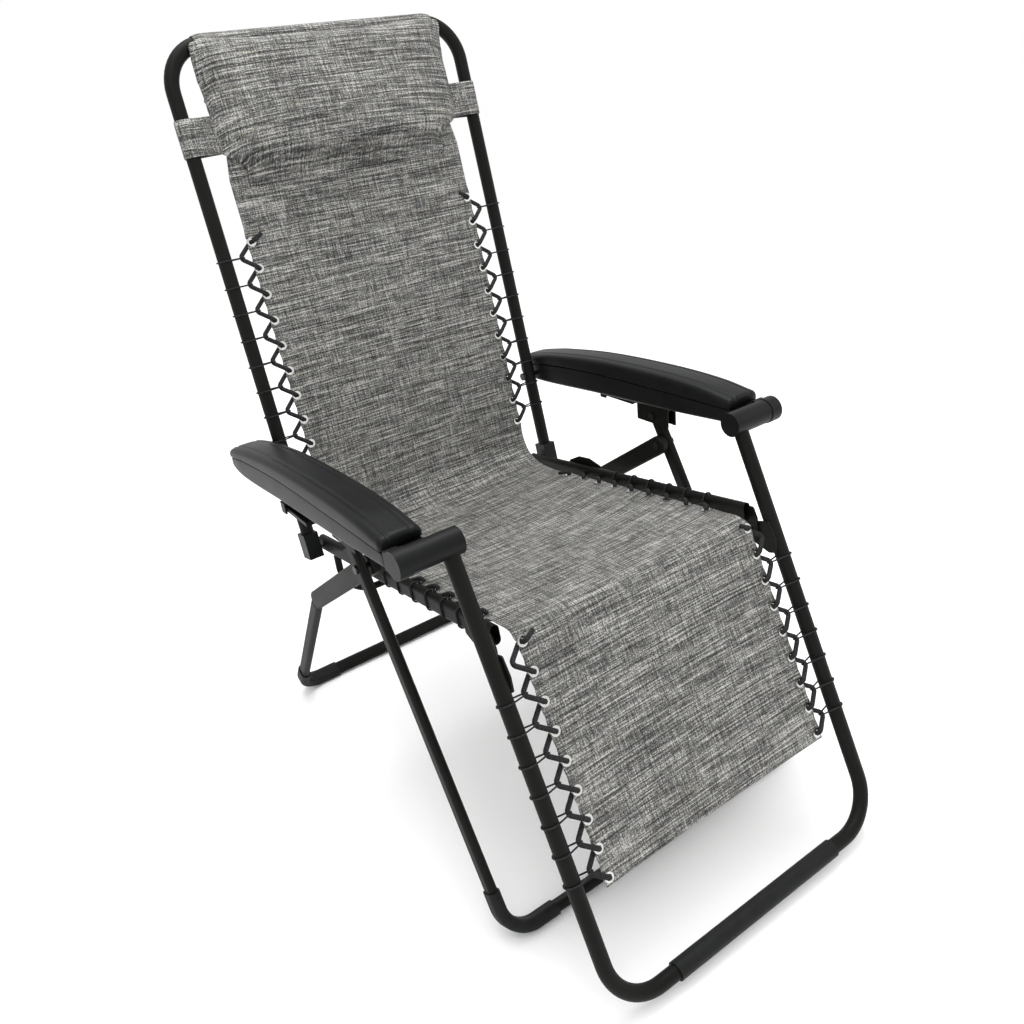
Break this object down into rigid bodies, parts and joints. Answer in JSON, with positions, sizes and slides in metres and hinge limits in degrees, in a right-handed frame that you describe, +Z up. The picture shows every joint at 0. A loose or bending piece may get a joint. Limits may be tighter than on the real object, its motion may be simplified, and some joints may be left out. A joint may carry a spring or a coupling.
{
  "type": "zero gravity recliner",
  "caption": "Folding reclining garden chair: laced fabric sling on a bent tube frame with armrests, leg rest, head pillow and scissor base.",
  "frame": {"origin": "on the floor, under the middle of the upright chair", "axes": "+Z up, -Y the way the sitter faces, +X the sitter's left"},
  "size_m": [0.656, 0.9883, 1.1932],
  "materials": {
    "frame_paint": "satin charcoal powder coat",
    "black_moulding": "fine grained satin",
    "foot_rubber": "matte",
    "sling_fabric": "grey melange woven mesh",
    "eyelet_metal": "bright nickel",
    "elastic_cord": "braided black sheath",
    "bolt_metal": "dark zinc"
  },
  "bodies": {
    "armrests": {"armrest_pad_left": "black_moulding", "armrest_pad_right": "black_moulding", "armrest_shell_left": "black_moulding", "armrest_shell_right": "black_moulding", "armrest_nose_left": "black_moulding", "armrest_nose_right": "black_moulding", "armrest_fork_left": "frame_paint", "armrest_fork_right": "frame_paint", "lever_clip_left": "black_moulding", "lever_clip_right": "black_moulding", "front_leg_bolts": "bolt_metal"},
    "back": {"back_pivot_bolts": "bolt_metal", "back_frame": "frame_paint", "sling_back": "sling_fabric", "back_eyelets": "eyelet_metal", "back_lacing": "elastic_cord", "back_tie_loops": "elastic_cord", "back_end_collar_left": "black_moulding", "back_end_collar_right": "black_moulding"},
    "head_rest": {"head_pillow": "sling_fabric", "pillow_straps": "sling_fabric"},
    "seat": {"seat_pivot_bolts": "bolt_metal", "knee_pivot_bolts": "bolt_metal", "seat_rail_left": "frame_paint", "seat_rail_right": "frame_paint", "knee_gusset_left": "frame_paint", "knee_gusset_right": "frame_paint", "rail_stop_left": "frame_paint", "rail_stop_right": "frame_paint", "seat_cross_brace": "frame_paint", "sling_seat": "sling_fabric", "seat_eyelets": "eyelet_metal", "seat_lacing": "elastic_cord", "seat_tie_loops": "elastic_cord"},
    "leg_rest": {"leg_rest_frame": "frame_paint", "foot_bar_sleeve": "foot_rubber", "sling_leg_rest": "sling_fabric", "leg_rest_eyelets": "eyelet_metal", "leg_rest_lacing": "elastic_cord", "leg_rest_tie_loops": "elastic_cord", "leg_rest_knuckle_left": "black_moulding", "leg_rest_knuckle_right": "black_moulding", "leg_rest_ear_left": "frame_paint", "leg_rest_ear_right": "frame_paint"},
    "front_legs": {"front_leg_frame": "frame_paint", "scissor_bolts": "bolt_metal", "front_foot_cap_left": "foot_rubber", "front_foot_cap_right": "foot_rubber"},
    "rear_legs": {"rear_leg_frame": "frame_paint", "rear_leg_link_left": "frame_paint", "rear_leg_link_right": "frame_paint", "rear_foot_cap_left": "foot_rubber", "rear_foot_cap_right": "foot_rubber"},
    "lock_lever_left": {"lock_lever_left": "black_moulding"},
    "lock_lever_right": {"lock_lever_right": "black_moulding"}
  },
  "joints": [
    {"name": "leg_fold", "type": "hinge", "parent": "armrests", "child": "front_legs", "pos_m": [0, 0.0065, 0.549], "axis": [1, 0, 0], "range_deg": [0, 96]},
    {"name": "rear_leg_fold", "type": "hinge", "parent": "front_legs", "child": "rear_legs", "pos_m": [0, -0.01743, 0.5051], "axis": [1, 0, 0], "range_deg": [-66, 0]},
    {"name": "back_recline", "type": "hinge", "parent": "armrests", "child": "back", "pos_m": [0, 0.3175, 0.564], "axis": [1, 0, 0], "range_deg": [-45, 0]},
    {"name": "seat_recline", "type": "hinge", "parent": "back", "child": "seat", "pos_m": [0, 0.2775, 0.404], "axis": [1, 0, 0], "range_deg": [0, 45]},
    {"name": "leg_rest_recline", "type": "hinge", "parent": "seat", "child": "leg_rest", "pos_m": [0, -0.2495, 0.442], "axis": [1, 0, 0], "range_deg": [-45, 0]},
    {"name": "pillow_slide", "type": "slide", "parent": "back", "child": "head_rest", "axis": [0, 0.2004, 0.9797], "range_m": [-0.09, 0]},
    {"name": "lock_lever_left_turn", "type": "hinge", "parent": "armrests", "child": "lock_lever_left", "pos_m": [0, 0.1535, 0.5495], "axis": [1, 0, 0], "range_deg": [0, 35]},
    {"name": "lock_lever_right_turn", "type": "hinge", "parent": "armrests", "child": "lock_lever_right", "pos_m": [0, 0.1535, 0.5495], "axis": [1, 0, 0], "range_deg": [0, 35]}
  ],
  "couplings": [
    {"joint": "rear_leg_fold", "follows": "leg_fold", "ratio": -0.6875},
    {"joint": "seat_recline", "follows": "back_recline", "ratio": -1},
    {"joint": "leg_rest_recline", "follows": "back_recline", "ratio": 1}
  ]
}
